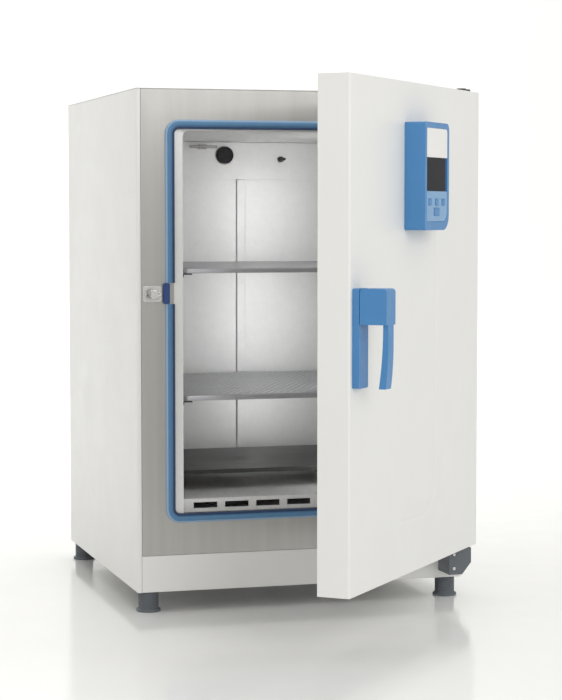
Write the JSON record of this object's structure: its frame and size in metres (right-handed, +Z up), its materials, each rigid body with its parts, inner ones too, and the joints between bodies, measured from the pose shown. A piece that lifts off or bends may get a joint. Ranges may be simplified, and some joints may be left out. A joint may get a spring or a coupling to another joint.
{
  "type": "laboratory incubator",
  "caption": "Free-standing laboratory incubator with a hinged insulated door, lever handle, control panel, stainless chamber, sliding shelves and levelling feet.",
  "frame": {"origin": "middle of the whole object's footprint with the door as it stands open, on the floor under the feet", "axes": "+X to the right seen from the front, +Y from the front to the back of the cabinet, +Z up"},
  "size_m": [0.6534, 1.2308, 0.9755],
  "materials": {
    "white_paint": "smooth satin off-white powder coat",
    "stainless": "brushed stainless steel",
    "bright_stainless": "bright finely ground stainless steel",
    "blue_rubber": "matte blue silicone rubber",
    "dark_blue_plastic": "satin dark blue plastic",
    "blue_plastic": "satin moulded blue plastic",
    "pale_blue_film": "smooth pale blue membrane film",
    "white_plastic": "smooth white plastic",
    "display_black": "glossy black display window",
    "slate_plastic": "matte slate grey plastic",
    "black_rubber": "matte black rubber",
    "mineral_wool": "fibrous mineral wool",
    "steel": "plain bright steel",
    "dark_steel": "dark grey steel",
    "circuit_green": "green circuit board laminate"
  },
  "bodies": {
    "cabinet": {"side_panel_left": "white_paint", "side_panel_right": "white_paint", "top_cover": "white_paint", "rear_panel": "white_paint", "base_pan": "steel", "base_fascia": "white_paint", "front_frame": "stainless", "chamber_liner": "bright_stainless", "upper_duct_cover": "bright_stainless", "rear_cable_cover": "bright_stainless", "floor_baffle": "bright_stainless", "heater_element": "dark_steel", "door_seal": "blue_rubber", "door_contact": "dark_blue_plastic", "strike_plate": "steel", "strike_pin": "steel", "insulation_wrap": "mineral_wool", "insulation_rear": "mineral_wool", "access_port_tube": "steel", "temperature_sensor": "dark_steel", "limit_sensor": "stainless", "power_inlet": "black_rubber", "control_board": "circuit_green", "shelf_rail_front_left": "bright_stainless", "shelf_rail_rear_left": "bright_stainless", "shelf_rail_front_right": "bright_stainless", "shelf_rail_rear_right": "bright_stainless", "shelf_support_top_left": "dark_steel", "shelf_support_middle_left": "dark_steel", "shelf_support_lower_left": "dark_steel", "shelf_support_top_right": "dark_steel", "shelf_support_middle_right": "dark_steel", "shelf_support_lower_right": "dark_steel", "hinge_bracket_bottom": "slate_plastic", "hinge_pin_bottom": "steel", "hinge_bracket_top": "dark_steel", "hinge_pin_top": "dark_steel"},
    "door": {"door_outer_shell": "white_paint", "door_inner_panel": "stainless", "door_insulation": "mineral_wool", "panel_housing": "blue_plastic", "badge_plate": "white_plastic", "display_window": "display_black", "keypad": "pale_blue_film", "handle_base": "blue_plastic", "handle_pin": "steel"},
    "handle": {"handle_lever": "blue_plastic", "latch_hook": "steel"},
    "port_plug": {"access_port_plug": "black_rubber"},
    "shelf_top": {"shelf_top": "stainless"},
    "shelf_middle": {"shelf_middle": "stainless"},
    "lower_tray": {"lower_tray": "dark_steel"},
    "foot_front_left": {"foot_front_left": "slate_plastic"},
    "foot_front_right": {"foot_front_right": "slate_plastic"},
    "foot_rear_left": {"foot_rear_left": "slate_plastic"},
    "foot_rear_right": {"foot_rear_right": "slate_plastic"},
    "key_1": {"key_1": "blue_plastic"},
    "key_2": {"key_2": "blue_plastic"},
    "key_3": {"key_3": "blue_plastic"},
    "key_4": {"key_4": "blue_plastic"}
  },
  "joints": [
    {"name": "door_hinge", "type": "hinge", "parent": "cabinet", "child": "door", "pos_m": [0.29331, -0.09392, 0.538], "axis": [0, 0, 1], "range_deg": [-49.3, 65.7]},
    {"name": "handle_pull", "type": "hinge", "parent": "door", "child": "handle", "pos_m": [-0.0547, -0.57413, 0.611], "axis": [-0.6521, -0.7581, 0], "range_deg": [0, 15], "stiffness_Nm_per_rad": 3, "springref_deg": -5.73},
    {"name": "shelf_top_slide", "type": "slide", "parent": "cabinet", "child": "shelf_top", "axis": [0, -1, 0], "range_m": [0, 0.09]},
    {"name": "shelf_middle_slide", "type": "slide", "parent": "cabinet", "child": "shelf_middle", "axis": [0, -1, 0], "range_m": [0, 0.09]},
    {"name": "lower_tray_slide", "type": "slide", "parent": "cabinet", "child": "lower_tray", "axis": [0, -1, 0], "range_m": [0, 0.19]},
    {"name": "port_plug_pull", "type": "slide", "parent": "cabinet", "child": "port_plug", "axis": [0, -1, 0], "range_m": [0, 0.04]},
    {"name": "key_1_press", "type": "slide", "parent": "door", "child": "key_1", "axis": [-0.7581, 0.6521, 0], "range_m": [0, 0.0008], "stiffness_N_per_m": 800},
    {"name": "key_2_press", "type": "slide", "parent": "door", "child": "key_2", "axis": [-0.7581, 0.6521, 0], "range_m": [0, 0.0008], "stiffness_N_per_m": 800},
    {"name": "key_3_press", "type": "slide", "parent": "door", "child": "key_3", "axis": [-0.7581, 0.6521, 0], "range_m": [0, 0.0008], "stiffness_N_per_m": 800},
    {"name": "key_4_press", "type": "slide", "parent": "door", "child": "key_4", "axis": [-0.7581, 0.6521, 0], "range_m": [0, 0.0008], "stiffness_N_per_m": 800},
    {"name": "foot_front_left_screw", "type": "hinge", "parent": "cabinet", "child": "foot_front_left", "pos_m": [-0.30169, -0.03092, 0.038], "axis": [0, 0, 1], "continuous": true},
    {"name": "foot_front_right_screw", "type": "hinge", "parent": "cabinet", "child": "foot_front_right", "pos_m": [0.28831, -0.03092, 0.038], "axis": [0, 0, 1], "continuous": true},
    {"name": "foot_rear_left_screw", "type": "hinge", "parent": "cabinet", "child": "foot_rear_left", "pos_m": [-0.30169, 0.58708, 0.038], "axis": [0, 0, 1], "continuous": true},
    {"name": "foot_rear_right_screw", "type": "hinge", "parent": "cabinet", "child": "foot_rear_right", "pos_m": [0.28831, 0.58708, 0.038], "axis": [0, 0, 1], "continuous": true}
  ]
}
